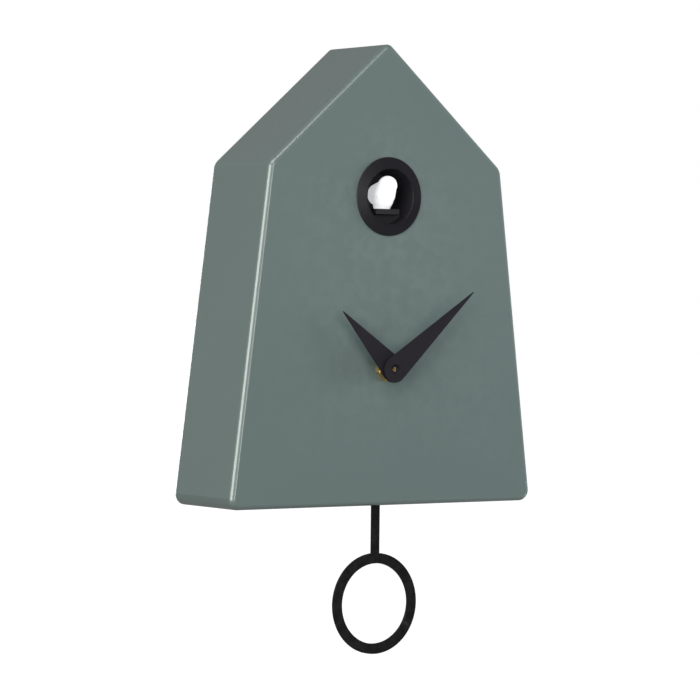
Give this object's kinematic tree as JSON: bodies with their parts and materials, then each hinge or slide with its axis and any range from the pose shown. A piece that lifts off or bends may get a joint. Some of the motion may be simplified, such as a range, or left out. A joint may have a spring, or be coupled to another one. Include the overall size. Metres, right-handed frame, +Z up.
{
  "type": "cuckoo clock",
  "caption": "Wall-hung modern cuckoo clock: gabled case, round opening with a sliding bird, two tapered hands and a ring pendulum.",
  "frame": {"origin": "centre of the wall hanger's round entry, on the wall plane behind the case", "axes": "+X to the right seen from the front, +Y into the wall, +Z up"},
  "size_m": [0.2382, 0.076, 0.3957],
  "materials": {
    "case_lacquer": "satin grey-green lacquer",
    "cover_plastic": "fine matt grain",
    "zinc_steel": "zinc plated",
    "hand_dark": "dark anodised, satin",
    "pendulum_dark": "dark satin",
    "bezel_dark": "dark satin gloss",
    "bird_white": "white satin",
    "brass": "bright turned brass",
    "rubber_black": "matt rubber",
    "works_plastic": "moulded black",
    "gear_plastic": "natural acetal",
    "magnet_metal": "nickel plated",
    "coil_copper": "enamelled copper wire",
    "board_green": "green solder mask",
    "cell_wrap": "plain wrapped cell",
    "cone_paper": "pressed paper"
  },
  "bodies": {
    "case": {"case_shell": "case_lacquer", "back_cover": "cover_plastic", "back_cover_screws": "zinc_steel", "wall_hanger": "zinc_steel", "hanger_screws": "zinc_steel", "hex_nut": "brass", "threaded_bushing": "brass", "rubber_washer": "rubber_black", "movement_front": "works_plastic", "movement_back": "works_plastic", "stepper_stator": "zinc_steel", "stepper_coil": "coil_copper", "movement_board": "board_green", "pendulum_drive_box": "works_plastic", "pivot_pin": "zinc_steel", "drive_coil": "coil_copper", "drive_core": "zinc_steel", "bird_bezel": "bezel_dark", "opening_ledge": "works_plastic", "bezel_retainer": "works_plastic", "gear_axle": "zinc_steel", "carriage_motor": "magnet_metal", "cuckoo_frame": "works_plastic", "battery_tray": "works_plastic", "aa_cells": "cell_wrap", "battery_contacts": "zinc_steel", "speaker_basket": "zinc_steel", "speaker_magnet": "magnet_metal", "speaker_cone": "cone_paper", "sound_board": "board_green", "switch_body": "works_plastic"},
    "minute": {"minute_hand": "hand_dark", "minute_hand_collet": "hand_dark", "minute_arbor": "brass"},
    "hour": {"hour_hand": "hand_dark", "hour_hand_collet": "hand_dark", "hour_wheel": "gear_plastic"},
    "setting": {"motion_wheel": "gear_plastic", "setting_knob": "works_plastic"},
    "pendulum": {"pendulum": "pendulum_dark", "pendulum_magnet": "magnet_metal"},
    "carriage": {"bird": "bird_white", "bird_carriage": "works_plastic"},
    "gear": {"drive_gear": "gear_plastic"},
    "motor_shaft": {"motor_pinion": "brass", "motor_shaft": "zinc_steel"},
    "door": {"battery_door": "cover_plastic"},
    "switch": {"switch_slider": "works_plastic"}
  },
  "joints": [
    {"name": "minute_turn", "type": "hinge", "parent": "case", "child": "minute", "pos_m": [0, -0.066, -0.1555], "axis": [0, 1, 0], "continuous": true},
    {"name": "hour_turn", "type": "hinge", "parent": "case", "child": "hour", "pos_m": [0, -0.066, -0.1555], "axis": [0, 1, 0], "continuous": true},
    {"name": "setting_turn", "type": "hinge", "parent": "case", "child": "setting", "pos_m": [0, -0.02, -0.1675], "axis": [0, 1, 0], "continuous": true},
    {"name": "pendulum_swing", "type": "hinge", "parent": "case", "child": "pendulum", "pos_m": [0, -0.055, -0.199], "axis": [0, 1, 0], "range_deg": [-6, 6]},
    {"name": "bird_slide", "type": "slide", "parent": "case", "child": "carriage", "axis": [0, -1, 0], "range_m": [0, 0.012]},
    {"name": "drive_gear_turn", "type": "hinge", "parent": "case", "child": "gear", "pos_m": [0, -0.0305, -0.06112], "axis": [1, 0, 0], "range_deg": [0, 144]},
    {"name": "motor_turn", "type": "hinge", "parent": "case", "child": "motor_shaft", "pos_m": [0, -0.0305, -0.07312], "axis": [1, 0, 0], "range_deg": [-430, 0]},
    {"name": "door_swing", "type": "hinge", "parent": "case", "child": "door", "pos_m": [-0.07, -0.0029, -0.1853], "axis": [1, 0, 0], "range_deg": [0, 90]},
    {"name": "switch_slide", "type": "slide", "parent": "case", "child": "switch", "axis": [1, 0, 0], "range_m": [0, 0.004]}
  ],
  "couplings": [
    {"joint": "hour_turn", "follows": "minute_turn", "ratio": 0.083333},
    {"joint": "setting_turn", "follows": "minute_turn", "ratio": -0.33333},
    {"joint": "drive_gear_turn", "follows": "bird_slide", "rad_per_m": 208.33},
    {"joint": "motor_turn", "follows": "bird_slide", "rad_per_m": -625}
  ]
}
